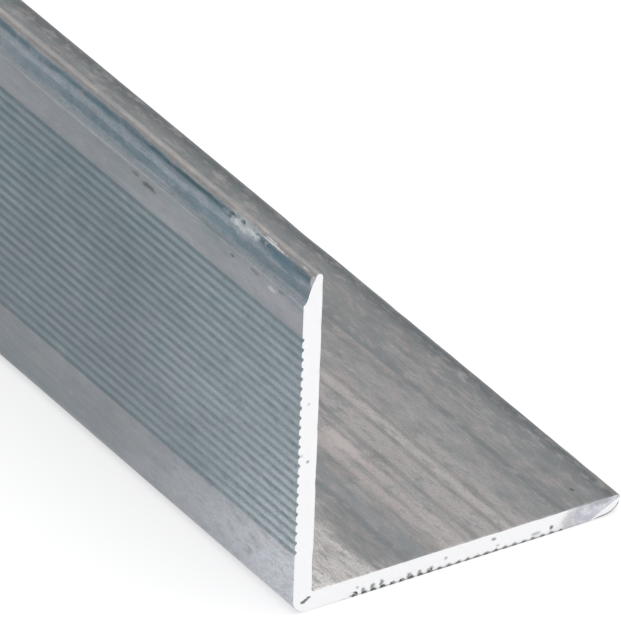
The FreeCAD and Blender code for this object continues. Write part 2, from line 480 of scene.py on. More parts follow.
class Board:
    """A node tree with short calls to add nodes and join them."""

    def __init__(self, tree: bpy.types.NodeTree) -> None:
        """Keep the tree to work on."""
        self.tree = tree

    def node(self, kind: str, **settings: object) -> bpy.types.Node:
        """Add a node and set its own properties.

        Args:
            kind: The node's type.
            settings: The properties by name.

        Returns:
            The node.
        """
        made = self.tree.nodes.new(kind)
        for name, value in settings.items():
            setattr(made, name, value)
        return made

    def feed(self, socket: Socket, value: object) -> None:
        """Give a socket a value, or join it to another node's output.

        Args:
            socket: The socket.
            value: A number, vector or colour, or the output of another node.
        """
        if isinstance(value, Socket):
            self.tree.links.new(value, socket)
        else:
            socket.default_value = value

    def math(self, operation: str, first: object, second: object = 0.0) -> Socket:
        """Add a Math node.

        Args:
            operation: The node's operation.
            first: The first number or output.
            second: The second number or output.

        Returns:
            The result.
        """
        made = self.node("ShaderNodeMath", operation=operation)
        self.feed(made.inputs[0], first)
        self.feed(made.inputs[1], second)
        return made.outputs[0]

    def vector(self, operation: str, first: object, second: object) -> Socket:
        """Add a Vector Math node.

        Args:
            operation: The node's operation.
            first: The first vector or output.
            second: The second vector or output.

        Returns:
            The resulting vector.
        """
        made = self.node("ShaderNodeVectorMath", operation=operation)
        self.feed(made.inputs[0], first)
        self.feed(made.inputs[1], second)
        return made.outputs["Vector"]

    def split(self, vector: Socket) -> tuple[Socket, Socket, Socket]:
        """Take a vector apart.

        Args:
            vector: The vector's output.

        Returns:
            Its X, Y and Z.
        """
        made = self.node("ShaderNodeSeparateXYZ")
        self.feed(made.inputs[0], vector)
        return made.outputs["X"], made.outputs["Y"], made.outputs["Z"]

    def join(self, x: object = 0.0, y: object = 0.0, z: object = 0.0) -> Socket:
        """Put a vector together.

        Args:
            x: Its X, as a number or output.
            y: Its Y.
            z: Its Z.

        Returns:
            The vector.
        """
        made = self.node("ShaderNodeCombineXYZ")
        for name, value in (("X", x), ("Y", y), ("Z", z)):
            self.feed(made.inputs[name], value)
        return made.outputs["Vector"]

    def noise(self, place: object, scale: object, detail: float, rough: float = 0.5) -> bpy.types.Node:
        """Add a Noise Texture.

        Args:
            place: Where it is read.
            scale: How many of its features fit in one unit.
            detail: How many finer layers it has.
            rough: How strong those layers are.

        Returns:
            The node, with its grey value as Fac and three values as Color.
        """
        made = self.node("ShaderNodeTexNoise")
        self.feed(made.inputs["Vector"], place)
        self.feed(made.inputs["Scale"], scale)
        self.feed(made.inputs["Detail"], detail)
        self.feed(made.inputs["Roughness"], rough)
        return made

    def ramp(
        self, value: object, low: object, high: object, start: float = 0.0, end: float = 1.0
    ) -> Socket:
        """Map a range of a value smoothly onto another range, with its ends held.

        Args:
            value: The value.
            low: Where the range starts.
            high: Where it ends.
            start: What the start becomes.
            end: What the end becomes.

        Returns:
            The mapped value.
        """
        made = self.node("ShaderNodeMapRange", interpolation_type="SMOOTHSTEP", clamp=True)
        self.feed(made.inputs["Value"], value)
        self.feed(made.inputs["From Min"], low)
        self.feed(made.inputs["From Max"], high)
        self.feed(made.inputs["To Min"], start)
        self.feed(made.inputs["To Max"], end)
        return made.outputs["Result"]

    def blend(self, share: object, first: object, second: object, way: str = "MIX") -> Socket:
        """Blend two colours.

        Args:
            share: How much of the second is taken.
            first: The first colour or output.
            second: The second colour or output.
            way: How they are blended.

        Returns:
            The blended colour.
        """
        made = self.node("ShaderNodeMix", data_type="RGBA", blend_type=way, clamp_factor=True)
        self.feed(made.inputs["Factor"], share)
        for socket, value in ((made.inputs[6], first), (made.inputs[7], second)):
            is_colour = isinstance(value, tuple) and len(value) == 3
            self.feed(socket, (*value, 1.0) if is_colour else value)
        return made.outputs[2]

    def group(self, tree: bpy.types.NodeTree, **values: object) -> bpy.types.Node:
        """Place a shared effect and give it this material's values.

        Args:
            tree: The effect's group.
            values: The inputs by name, in small letters with underscores for spaces.

        Returns:
            The group node.
        """
        made = self.node("ShaderNodeGroup")
        made.node_tree = tree
        for name, value in values.items():
            self.feed(made.inputs[name.replace("_", " ").title()], value)
        return made


class Effects:
    """The effects that several finishes share, each a node group that is built once."""

    def __init__(self) -> None:
        """Build every group."""
        self.bar_place = self.make_bar_place()
        self.wander = self.make_wander()
        self.die_lines = self.make_die_lines()
        self.clouds = self.make_clouds()
        self.mottle = self.make_mottle()
        self.mark = self.make_mark()
        self.scratches = self.make_scratches()
        self.saw_marks = self.make_saw_marks()
        self.groove_dirt = self.make_groove_dirt()
        self.groove_shade = self.make_groove_shade()

    def start(
        self, name: str, inputs: dict[str, str], outputs: dict[str, str]
    ) -> tuple[Board, Sockets, Sockets]:
        """Start a group with named inputs and outputs.

        Args:
            name: The group's name.
            inputs: Each input's name and the last part of its socket type.
            outputs: The same for the outputs.

        Returns:
            The board to build on, the input sockets by name, and the output sockets by name.
        """
        tree = bpy.data.node_groups.new(name, "ShaderNodeTree")
        for way, sockets in (("INPUT", inputs), ("OUTPUT", outputs)):
            for label, kind in sockets.items():
                tree.interface.new_socket(name=label, in_out=way, socket_type="NodeSocket" + kind)
        board = Board(tree)
        source = board.node("NodeGroupInput")
        target = board.node("NodeGroupOutput")
        given = {label: source.outputs[label] for label in inputs}
        wanted = {label: target.inputs[label] for label in outputs}
        return board, given, wanted

    def make_bar_place(self) -> bpy.types.NodeTree:
        """Give the place on the bar in millimetres, with X counted from the heel and Y from the near end.

        Returns:
            The group, with Place as its output.
        """
        inputs = {"Heel": "Float", "Near End": "Float"}
        board, given, wanted = self.start("bar_place", inputs, {"Place": "Vector"})
        here = board.node("ShaderNodeTexCoord").outputs["Object"]
        scaled = board.vector("MULTIPLY", here, (1.0 / MM, 1.0 / MM, 1.0 / MM))
        corner = board.join(given["Heel"], given["Near End"])
        board.feed(wanted["Place"], board.vector("SUBTRACT", scaled, corner))
        return board.tree

    def make_wander(self) -> bpy.types.NodeTree:
        """Shift a place to and fro, so that straight streaks waver.

        Returns:
            The group, with the shifted Place as its output.
        """
        inputs = {"Place": "Vector", "Size": "Float", "Amount": "Float"}
        board, given, wanted = self.start("wander", inputs, {"Place": "Vector"})
        across = board.math("DIVIDE", 1.0, given["Size"])
        along = board.math("DIVIDE", across, WANDER_STRETCH)
        place = board.vector("MULTIPLY", given["Place"], board.join(across, along, across))
        uneven = board.noise(place, scale=1.0, detail=3.0, rough=0.6).outputs["Color"]
        centred = board.vector("SUBTRACT", uneven, (0.5, 0.5, 0.5))
        shift = board.vector("MULTIPLY", centred, board.join(given["Amount"], 0.0, given["Amount"]))
        board.feed(wanted["Place"], board.vector("ADD", given["Place"], shift))
        return board.tree

    def make_die_lines(self) -> bpy.types.NodeTree:
        """Draw the fine lines that the die leaves along the length, as a value round 0.5.

        Returns:
            The group, with Line as its output.
        """
        inputs = {"Place": "Vector", "Lines": "Float", "Run": "Float", "Contrast": "Float"}
        board, given, wanted = self.start("die_lines", inputs, {"Line": "Float"})
        stretch = board.join(given["Lines"], board.math("DIVIDE", 1.0, given["Run"]), given["Lines"])
        place = board.vector("MULTIPLY", given["Place"], stretch)
        fine = board.noise(place, scale=1.0, detail=4.0, rough=0.65).outputs["Fac"]
        centred = board.math("SUBTRACT", fine, 0.5)
        scaled = board.math("MULTIPLY", centred, given["Contrast"])
        board.feed(wanted["Line"], board.math("ADD", scaled, 0.5))
        return board.tree

    def make_clouds(self) -> bpy.types.NodeTree:
        """Draw soft patches of dull oxide, drawn out along the length.

        Returns:
            The group, with Mask and Second, two different sets of patches, as its outputs.
        """
        inputs = {"Place": "Vector", "Size": "Float", "Stretch": "Float", "Seed": "Float"}
        board, given, wanted = self.start("oxide_clouds", inputs, {"Mask": "Float", "Second": "Float"})
        across = board.math("DIVIDE", 1.0, given["Size"])
        stretch = board.join(across, board.math("DIVIDE", across, given["Stretch"]), across)
        place = board.vector("MULTIPLY", given["Place"], stretch)
        shift = board.join(given["Seed"], 0.0, given["Seed"])
        first = board.noise(board.vector("ADD", place, shift), scale=1.0, detail=5.0, rough=0.6)
        second = board.noise(board.vector("SUBTRACT", place, shift), scale=0.8, detail=4.0, rough=0.55)
        board.feed(wanted["Mask"], board.ramp(first.outputs["Fac"], *CLOUD_EDGE))
        board.feed(wanted["Second"], board.ramp(second.outputs["Fac"], *CLOUD_EDGE))
        return board.tree

    def make_mottle(self) -> bpy.types.NodeTree:
        """Draw small uneven spots of pale, dull, warm and cool metal.

        Returns:
            The group, with one mask for each kind of spot as its outputs.
        """
        inputs = {"Place": "Vector", "Size": "Float", "Stretch": "Float"}
        outputs = {"Pale": "Float", "Dull": "Float", "Warm": "Float", "Cool": "Float"}
        board, given, wanted = self.start("mottle", inputs, outputs)
        across = board.math("DIVIDE", 1.0, given["Size"])
        stretch = board.join(across, board.math("DIVIDE", across, given["Stretch"]), across)
        place = board.vector("MULTIPLY", given["Place"], stretch)
        tone, tint, _ = board.split(board.noise(place, scale=1.0, detail=4.0, rough=0.7).outputs["Color"])
        board.feed(wanted["Pale"], board.ramp(tone, *HIGH_SPOTS))
        board.feed(wanted["Dull"], board.ramp(tone, *LOW_SPOTS))
        board.feed(wanted["Warm"], board.ramp(tint, *HIGH_SPOTS))
        board.feed(wanted["Cool"], board.ramp(tint, *LOW_SPOTS))
        return board.tree

    def make_mark(self) -> bpy.types.NodeTree:
        """Draw one streak, stain, scuff, painted shadow or painted highlight with a frayed edge at a
        place on the bar.

        Returns:
            The group, with Mask as its output.
        """
        inputs = {
            "Place": "Vector",
            "Middle": "Vector",
            "Reach": "Vector",
            "Fray": "Float",
            "Grain": "Float",
            "Stretch": "Float",
        }
        board, given, wanted = self.start("frayed_mark", inputs, {"Mask": "Float"})
        away = board.vector("SUBTRACT", given["Place"], given["Middle"])
        share = board.vector("DIVIDE", away, given["Reach"])
        length = board.node("ShaderNodeVectorMath", operation="LENGTH")
        board.feed(length.inputs[0], share)
        drawn = board.join(1.0, board.math("DIVIDE", 1.0, given["Stretch"]), 1.0)
        place = board.vector("MULTIPLY", given["Place"], drawn)
        uneven = board.noise(place, scale=given["Grain"], detail=4.0, rough=0.6).outputs["Fac"]
        offset = board.math("MULTIPLY", board.math("SUBTRACT", uneven, 0.5), given["Fray"])
        edge = board.math("ADD", length.outputs["Value"], offset)
        board.feed(wanted["Mask"], board.ramp(edge, *MARK_EDGE))
        return board.tree

    def make_scratches(self) -> bpy.types.NodeTree:
        """Draw sparse thin scratches that run nearly along the length.

        Returns:
            The group, with Mask as its output.
        """
        inputs = {"Place": "Vector", "Slant": "Float", "Fine": "Float", "Sparse": "Float"}
        board, given, wanted = self.start("scratches", inputs, {"Mask": "Float"})
        x, y, z = board.split(given["Place"])
        lean = board.math("MULTIPLY", y, given["Slant"])
        across = board.math("MULTIPLY", board.math("ADD", x, lean), given["Fine"])
        up = board.math("MULTIPLY", board.math("ADD", z, lean), given["Fine"])
        place = board.join(across, board.math("MULTIPLY", y, SCRATCH_RUN), up)
        value = board.noise(place, scale=1.0, detail=2.0, rough=0.5).outputs["Fac"]
        top = board.math("ADD", given["Sparse"], SCRATCH_EDGE)
        board.feed(wanted["Mask"], board.ramp(value, given["Sparse"], top))
        return board.tree

    def make_saw_marks(self) -> bpy.types.NodeTree:
        """Draw the curved lines of a circular saw and the grain that it tears.

        Returns:
            The group, with Line and Grain as its outputs.
        """
        inputs = {"Place": "Vector", "Lines": "Float", "Radius": "Float"}
        board, given, wanted = self.start("saw_marks", inputs, {"Line": "Float", "Grain": "Float"})
        x, _, z = board.split(given["Place"])
        far_x = board.math("POWER", board.math("ADD", x, given["Radius"]), 2.0)
        far_z = board.math("POWER", board.math("ADD", z, given["Radius"]), 2.0)
        away = board.math("SQRT", board.math("ADD", far_x, far_z))
        turns = board.math("MULTIPLY", away, given["Lines"])
        place = board.join(turns, board.math("MULTIPLY", x, SAW_RUN))
        line = board.noise(place, scale=1.0, detail=2.0, rough=0.6)
        grain = board.noise(given["Place"], scale=5.0, detail=4.0, rough=0.7)
        board.feed(wanted["Line"], line.outputs["Fac"])
        board.feed(wanted["Grain"], grain.outputs["Fac"])
        return board.tree

    def make_groove_dirt(self) -> bpy.types.NodeTree:
        """Draw a spot of torn metal at the foot of each groove of the floor leg.

        Returns:
            The group, with Mask as its output.
        """
        inputs = {
            "Place": "Vector",
            "First": "Float",
            "Last": "Float",
            "Pitch": "Float",
            "Reach": "Float",
        }
        board, given, wanted = self.start("groove_dirt", inputs, {"Mask": "Float"})
        x, _, z = board.split(given["Place"])
        steps = board.math("DIVIDE", board.math("SUBTRACT", x, given["First"]), given["Pitch"])
        away = board.math("SUBTRACT", board.math("FRACT", board.math("ADD", steps, 0.5)), 0.5)
        across = board.math("POWER", board.math("MULTIPLY", away, given["Pitch"]), 2.0)
        spread = board.math("SQRT", board.math("ADD", across, board.math("POWER", z, 2.0)))
        uneven = board.noise(given["Place"], scale=2.5, detail=3.0, rough=0.6).outputs["Fac"]
        edge = board.math("ADD", board.math("DIVIDE", spread, given["Reach"]), uneven)
        spot = board.ramp(edge, *TORN_EDGE)
        starts = board.ramp(x, given["First"], board.math("ADD", given["First"], TORN_START))
        ends = board.ramp(x, given["Last"], board.math("SUBTRACT", given["Last"], TORN_END))
        board.feed(wanted["Mask"], board.math("MULTIPLY", spot, board.math("MULTIPLY", starts, ends)))
        return board.tree

    def make_groove_shade(self) -> bpy.types.NodeTree:
        """Find the bottoms of the grooves on the outer face of either leg, for the painted shade in them.

        Returns:
            The group, with Mask as its output.
        """
        inputs = {"Place": "Vector", "First": "Float", "Pitch": "Float", "Width": "Float"}
        board, given, wanted = self.start("groove_shade", inputs, {"Mask": "Float"})
        x, _, z = board.split(given["Place"])
        across = board.math("MAXIMUM", x, z)
        steps = board.math("DIVIDE", board.math("SUBTRACT", across, given["First"]), given["Pitch"])
        away = board.math("SUBTRACT", board.math("FRACT", board.math("ADD", steps, 0.5)), 0.5)
        reach = board.math("MULTIPLY", board.math("ABSOLUTE", away), given["Pitch"])
        rim = board.math("MULTIPLY", given["Width"], SHADE_RIM)
        full = board.math("MULTIPLY", given["Width"], SHADE_FULL)
        board.feed(wanted["Mask"], board.ramp(reach, rim, full))
        return board.tree


@dataclass(frozen=True)
class Mark:
    """A streak, stain, scuff, painted shadow or painted highlight: its middle from the heel and the near
    end, its reach and its tone.
    """

    middle: Point3
    reach: Point3
    tone: Colour
    strength: float
    fray: float = 1.2
    grain: float = 1.5
    stretch: float = 1.0


def paint(
    board: Board, effects: Effects, place: Socket, colour: Socket, marks: tuple[Mark, ...]
) -> Socket:
    """Lay marks over a colour, one after another.

    Args:
        board: The material's board.
        effects: The shared node groups.
        place: The place on the bar, in millimetres.
        colour: The colour below the marks.
        marks: The marks, the lowest first.

    Returns:
        The colour with the marks on it.
    """
    for mark in marks:
        mask = board.group(
            effects.mark,
            place=place,
            middle=mark.middle,
            reach=mark.reach,
            fray=mark.fray,
            grain=mark.grain,
            stretch=mark.stretch,
        ).outputs["Mask"]
        colour = board.blend(board.math("MULTIPLY", mask, mark.strength), colour, mark.tone)
    return colour


@dataclass(frozen=True)
class MillFinish:
    """Extruded aluminium as it leaves the die: grey, streaked along the length and clouded by oxide, with
    the painted light and shade that a finish lists laid over it.
    """

    name: str
    near_end: float
    heel: float
    base: Colour
    pale: Colour
    dull: Colour
    warm: Colour
    cool: Colour
    lines_per_mm: float = 4.0
    line_run: float = 160.0
    line_contrast: float = 0.9
    broad_lines_per_mm: float = 0.55
    broad_line_run: float = 60.0
    broad_line_contrast: float = 1.4
    line_range: Point2 = (0.25, 0.75)
    broad_line_range: Point2 = (0.2, 0.8)
    base_share: Point2 = (0.25, 0.75)
    cloud_size: float = 7.0
    cloud_stretch: float = 3.0
    cloud_strength: float = 0.35
    tint_size_share: float = 1.6
    tint_stretch: float = 5.0
    tint_seed_shift: float = 9.0
    seed: float = 3.7
    mottle_size: float = 1.1
    mottle_stretch: float = 2.5
    mottle_strength: float = 0.45
    scratch_slant: float = 0.03
    scratches_per_mm: float = 3.0
    scratch_sparse: float = 0.66
    scratch_strength: float = 0.3
    grain_per_mm: float = 5.0
    grain_range: Point2 = (0.35, 0.65)
    grain_strength: float = 0.3
    wander_size: float = 5.0
    wander_amount: float = 0.5
    roughness: float = 0.4
    roughness_range: Point2 = (-0.05, 0.07)
    bump: float = 0.006
    streaks: tuple[Mark, ...] = ()
    marks: tuple[Mark, ...] = ()
    groove_first: float = 0.0
    groove_pitch: float = 1.0
    groove_width: float = 0.5
    groove_marks: tuple[Mark, ...] = ()

    def material(self, effects: Effects) -> bpy.types.Material:
        """Build the material.

        Args:
            effects: The shared node groups.

        Returns:
            The finished material.
        """
        made = bpy.data.materials.new(self.name)
        made.use_nodes = True
        board = Board(made.node_tree)
        shader = made.node_tree.nodes["Principled BSDF"]
        place = board.group(effects.bar_place, heel=self.heel, near_end=self.near_end).outputs["Place"]
        drifted = board.group(
            effects.wander, place=place, size=self.wander_size, amount=self.wander_amount
        ).outputs["Place"]
        lines = board.group(
            effects.die_lines,
            place=place,
            lines=self.lines_per_mm,
            run=self.line_run,
            contrast=self.line_contrast,
        ).outputs["Line"]
        broad = board.group(
            effects.die_lines,
            place=drifted,
            lines=self.broad_lines_per_mm,
            run=self.broad_line_run,
            contrast=self.broad_line_contrast,
        ).outputs["Line"]
        cloud = board.group(
            effects.clouds, place=place, size=self.cloud_size, stretch=self.cloud_stretch, seed=self.seed
        )
        tint = board.group(
            effects.clouds,
            place=place,
            size=self.cloud_size * self.tint_size_share,
            stretch=self.tint_stretch,
            seed=self.seed + self.tint_seed_shift,
        )
        colour = board.blend(board.ramp(lines, *self.line_range), self.dull, self.pale)
        even = board.ramp(broad, *self.broad_line_range, *self.base_share)
        colour = board.blend(even, colour, self.base)
        for mask, tone in (
            (cloud.outputs["Mask"], self.dull),
            (tint.outputs["Mask"], self.warm),
            (tint.outputs["Second"], self.cool),
        ):
            colour = board.blend(board.math("MULTIPLY", mask, self.cloud_strength), colour, tone)
        colour = paint(board, effects, drifted, colour, self.streaks)
        spots = board.group(
            effects.mottle, place=drifted, size=self.mottle_size, stretch=self.mottle_stretch
        )
        tones = {"Dull": self.dull, "Pale": self.pale, "Warm": self.warm, "Cool": self.cool}
        for side, tone in tones.items():
            share = board.math("MULTIPLY", spots.outputs[side], self.mottle_strength)
            colour = board.blend(share, colour, tone)
        scratched = board.group(
            effects.scratches,
            place=place,
            slant=self.scratch_slant,
            fine=self.scratches_per_mm,
            sparse=self.scratch_sparse,
        ).outputs["Mask"]
        colour = board.blend(board.math("MULTIPLY", scratched, self.scratch_strength), colour, self.pale)
        grain = board.noise(place, scale=self.grain_per_mm, detail=3.0, rough=0.7).outputs["Fac"]
        share = board.ramp(grain, *self.grain_range, 0.0, self.grain_strength)
        colour = board.blend(share, colour, self.dull)
        colour = paint(board, effects, place, colour, self.marks)
        # Painted shade: the bottoms of the grooves are darkened, most near the cut end.
        if self.groove_marks:
            grooves = board.group(
                effects.groove_shade,
                place=place,
                first=self.groove_first,
                pitch=self.groove_pitch,
                width=self.groove_width,
            ).outputs["Mask"]
            dark = paint(board, effects, place, colour, self.groove_marks)
            colour = board.blend(grooves, colour, dark)
        board.feed(shader.inputs["Base Color"], colour)
        shader.inputs["Metallic"].default_value = 1.0
        smooth, rough = (self.roughness + change for change in self.roughness_range)
        uneven = board.ramp(cloud.outputs["Second"], 0.0, 1.0, smooth, rough)
        board.feed(shader.inputs["Roughness"], uneven)
        bump = board.node("ShaderNodeBump")
        board.feed(bump.inputs["Height"], lines)
        bump.inputs["Strength"].default_value = 1.0
        bump.inputs["Distance"].default_value = self.bump * MM
        board.feed(shader.inputs["Normal"], bump.outputs["Normal"])
        return made


@dataclass(frozen=True)
class SawnFinish:
    """A fresh saw cut: bright, with faint curved lines and torn grain, and duller towards the floor tip.

    Lengths are in millimetres, and flap_from and the grooves are counted from the heel.
    """

    name: str
    near_end: float
    heel: float
    bright: Colour
    mark: Colour
    dull: Colour
    dull_from: float
    dull_to: float
    groove_first: float
    groove_last: float
    groove_pitch: float
    flap_from: float = 31.6
    flap_slope: float = 0.5
    flap_blend: float = 0.12
    dull_slope: float = 0.8
    dull_wander: float = 3.0
    dull_mix: float = 0.4
    patches_per_mm: float = 1.3
    patch_range: Point2 = (0.4, 0.62)
    lines_per_mm: float = 2.4
    line_radius: float = 90.0
    line_range: Point2 = (0.55, 0.75)
    line_strength: float = 0.15
    grain_share: float = 0.5
    torn_reach: float = 0.42
    torn_tone: Colour = (0.15, 0.17, 0.17)
    torn_strength: float = 0.75
    metallic: float = 0.6
    roughness: float = 0.55
    bump: float = 0.02
    marks: tuple[Mark, ...] = ()

    def material(self, effects: Effects) -> bpy.types.Material:
        """Build the material.

        Args:
            effects: The shared node groups.

        Returns:
            The finished material.
        """
        made = bpy.data.materials.new(self.name)
        made.use_nodes = True
        board = Board(made.node_tree)
        shader = made.node_tree.nodes["Principled BSDF"]
        place = board.group(effects.bar_place, heel=self.heel, near_end=self.near_end).outputs["Place"]
        saw = board.group(
            effects.saw_marks, place=place, lines=self.lines_per_mm, radius=self.line_radius
        )
        x, _, z = board.split(place)
        wander = board.math("MULTIPLY", saw.outputs["Grain"], self.dull_wander)
        lean = board.math("MULTIPLY", z, self.dull_slope)
        slanted = board.math("SUBTRACT", board.math("ADD", x, wander), lean)
        rise = board.math("MULTIPLY", board.math("SUBTRACT", x, self.flap_from), self.flap_slope)
        above = board.ramp(board.math("SUBTRACT", rise, z), 0.0, -self.flap_blend)
        dull = board.math("MULTIPLY", board.ramp(slanted, self.dull_from, self.dull_to), above)
        patch = board.noise(place, scale=self.patches_per_mm, detail=4.0, rough=0.65).outputs["Fac"]
        tone = board.blend(board.ramp(patch, *self.patch_range), self.dull, self.bright)
        colour = board.blend(dull, self.bright, board.blend(self.dull_mix, self.dull, tone))
        line = board.ramp(saw.outputs["Line"], *self.line_range)
        colour = board.blend(board.math("MULTIPLY", line, self.line_strength), colour, self.mark)
        torn = board.group(
            effects.groove_dirt,
            place=place,
            first=self.groove_first,
            last=self.groove_last,
            pitch=self.groove_pitch,
            reach=self.torn_reach,
        ).outputs["Mask"]
        colour = board.blend(board.math("MULTIPLY", torn, self.torn_strength), colour, self.torn_tone)
        colour = paint(board, effects, place, colour, self.marks)
        board.feed(shader.inputs["Base Color"], colour)
        shader.inputs["Metallic"].default_value = self.metallic
        shader.inputs["Roughness"].default_value = self.roughness
        grain = board.math("MULTIPLY", saw.outputs["Grain"], self.grain_share)
        bump = board.node("ShaderNodeBump")
        board.feed(bump.inputs["Height"], board.math("ADD", saw.outputs["Line"], grain))
        bump.inputs["Distance"].default_value = self.bump * MM
        board.feed(shader.inputs["Normal"], bump.outputs["Normal"])
        return made


@dataclass(frozen=True)
class SunLamp:
    """A soft distant lamp: the direction that it shines from, its strength and how large it looks."""

    name: str
    come_from: Point3
    strength: float
    spread_deg: float
    colour: Colour = (1.0, 1.0, 1.0)

    def light(self) -> None:
        """Make the lamp and turn it."""
        data = bpy.data.lights.new(self.name, "SUN")
        data.energy = self.strength
        data.angle = math.radians(self.spread_deg)
        data.color = self.colour
        lamp = bpy.data.objects.new(self.name, data)
        lamp.rotation_mode = "QUATERNION"
        lamp.rotation_quaternion = Vector(self.come_from).to_track_quat("Z", "Y")
        bpy.context.scene.collection.objects.link(lamp)


@dataclass(frozen=True)
class Viewpoint:
    """The photograph's view: where it looks, from which side, how far off and how wide.

    Lengths are in millimetres, apart from the clip distances, which are in metres as Blender has them.
    """

    aim: Point3 = (-9.5, -489.19, 23.4)
    azimuth_deg: float = -33.8
    elevation_deg: float = 31.2
    roll_deg: float = 2.1
    distance: float = 1200.0
    width: float = 55.0
    frame: tuple[int, int] = (621, 625)
    sensor: float = 36.0
    clip: Point2 = (0.1, 60.0)

    def camera(self) -> bpy.types.Object:
        """Make the camera at this viewpoint and make it the scene's own.

        Returns:
            The camera.
        """
        turn = math.radians(self.azimuth_deg)
        lift = math.radians(self.elevation_deg)
        back = Vector((math.sin(turn) * math.cos(lift), -math.cos(turn) * math.cos(lift), math.sin(lift)))
        right = Vector((math.cos(turn), math.sin(turn), 0.0))
        rise = back.cross(right)
        roll = math.radians(self.roll_deg)
        rolled_right = right * math.cos(roll) + rise * math.sin(roll)
        rolled_rise = rise * math.cos(roll) - right * math.sin(roll)
        data = bpy.data.cameras.new("photo_view")
        data.sensor_width = self.sensor
        long_side = self.width * max(self.frame) / self.frame[0]
        data.lens = self.sensor * self.distance / long_side
        data.clip_start, data.clip_end = self.clip
        camera = bpy.data.objects.new("photo_view", data)
        turned = Matrix((rolled_right, rolled_rise, back)).transposed().to_4x4()
        spot = (Vector(self.aim) + back * self.distance) * MM
        camera.matrix_world = Matrix.Translation(spot) @ turned
        bpy.context.scene.collection.objects.link(camera)
        bpy.context.scene.camera = camera
        return camera


@dataclass(frozen=True)
class Studio:
    """A plain pale floor under an even pale surround, with soft lamps. The floor's half is in metres."""

    floor_half: float = 30.0
    floor_tone: Colour = (0.5, 0.5, 0.5)
    floor_glow: float = 0.55
    surround_low: Colour = (0.62, 0.63, 0.65)
    surround_high: Colour = (0.95, 0.95, 0.96)
    surround_full_at: float = 0.8
    surround_strength: float = 0.92
    lamps: tuple[SunLamp, ...] = (
        SunLamp("front_lamp", (-0.25, -1.0, 0.45), 1.07, 110.0),
        SunLamp("top_lamp", (0.3, 0.2, 1.0), 0.6, 70.0),
    )

    def floor(self) -> bpy.types.Object:
        """Lay the floor, which looks white to the camera and in the metal and still takes a shadow.

        Returns:
            The floor.
        """
        data = bpy.data.meshes.new("studio_floor")
        half = self.floor_half
        corners = [(-half, -half, 0.0), (half, -half, 0.0), (half, half, 0.0), (-half, half, 0.0)]
        data.from_pydata(corners, [], [(0, 1, 2, 3)])
        floor = bpy.data.objects.new("studio_floor", data)
        bpy.context.scene.collection.objects.link(floor)
        made = bpy.data.materials.new("pale_floor")
        made.use_nodes = True
        board = Board(made.node_tree)
        made.node_tree.nodes.clear()
        output = board.node("ShaderNodeOutputMaterial")
        matt = board.node("ShaderNodeBsdfDiffuse")
        matt.inputs["Color"].default_value = (*self.floor_tone, 1.0)
        glow = board.node("ShaderNodeEmission")
        path = board.node("ShaderNodeLightPath")
        seen = board.math("MAXIMUM", path.outputs["Is Camera Ray"], path.outputs["Is Glossy Ray"])
        seen = board.math("MAXIMUM", seen, path.outputs["Is Transmission Ray"])
        board.feed(glow.inputs["Strength"], board.math("MULTIPLY", seen, self.floor_glow))
        total = board.node("ShaderNodeAddShader")
        board.feed(total.inputs[0], matt.outputs[0])
        board.feed(total.inputs[1], glow.outputs[0])
        board.feed(output.inputs["Surface"], total.outputs[0])
        data.materials.append(made)
        return floor

    def surround(self) -> None:
        """Light the scene from all sides, a little more from above than from the horizon."""
        world = bpy.data.worlds.new("studio_surround")
        world.use_nodes = True
        bpy.context.scene.world = world
        board = Board(world.node_tree)
        backdrop = world.node_tree.nodes["Background"]
        _, _, up = board.split(board.node("ShaderNodeTexCoord").outputs["Generated"])
        share = board.ramp(up, 0.0, self.surround_full_at)
        tone = board.blend(share, self.surround_low, self.surround_high)
        board.feed(backdrop.inputs["Color"], tone)
        backdrop.inputs["Strength"].default_value = self.surround_strength

    def set_up(self) -> None:
        """Build the floor, the surround and the lamps, and set how colours are shown."""
        self.floor()
        self.surround()
        for lamp in self.lamps:
            lamp.light()
        bpy.context.scene.view_settings.view_transform = "Standard"


def near_nicks(section: Section, tear_spread: float = 1.6) -> tuple[Nick, ...]:
    """List the dents and tears near the cut end.

    Args:
        section: The section that they are on.
        tear_spread: How much wider than its deepest part a tear reaches.

    Returns:
        The nicks, each at a place measured from the near end.
    """
    tip = section.leg
    nicks = [
        Nick(Leg.UPRIGHT, 13.2, 1.02, tip - 0.55, 0.5, 0.22, 0.12),
        Nick(Leg.UPRIGHT, 11.6, 1.02, tip - 0.5, 0.5, 0.3, 0.2),
        Nick(Leg.UPRIGHT, 9.4, 1.1, tip - 0.36, 0.5, 0.2, 0.1),
        Nick(Leg.UPRIGHT, 7.2, 1.18, tip - 0.25, 1.6, 0.12, 0.07),
        Nick(Leg.UPRIGHT, 2.2, 1.1, tip - 0.4, 0.9, 0.3, 0.1),
        Nick(Leg.UPRIGHT, 0.1, 1.1, tip - 0.4, 0.3, 0.3, 0.12),
        Nick(Leg.FLOOR, 52.8, section.wall, tip, 1.4, 0.6, 0.12),
    ]
    tears = (
        (6.55, 0.2, 0.2, 0.28),
        (7.5, 0.2, 0.13, 0.2),
        (8.5, 0.25, 0.14, 0.2),
        (9.5, 0.25, 0.14, 0.22),
        (10.6, 0.1, 0.2, 0.14),
        (11.6, 0.12, 0.2, 0.14),
        (12.5, 0.25, 0.14, 0.22),
        (13.4, 0.15, 0.2, 0.2),
        (14.6, 0.25, 0.2, 0.2),
    )
    for height, depth, width, bite in tears:
        nicks.append(Nick(Leg.FLOOR, 0.0, depth, height, 0.5, width * tear_spread, bite))
    return tuple(nicks)


def floor_burr() -> Burr:
    """Shape the flap that closes the bevel at the tip of the floor leg.

    Returns:
        The flap, torn along the last part of its edge.
    """
    edge = (
        (31.9, 0.06),
        (32.6, 0.5),
        (33.5, 0.86),
        (34.3, 1.28),
        (34.8, 1.6),
        (34.9, 1.3),
        (34.8, 0.95),
        (34.55, 0.62),
        (34.15, 0.34),
        (33.6, 0.16),
        (32.8, 0.08),
    )
    return Burr(Leg.FLOOR, edge, torn_from=4)


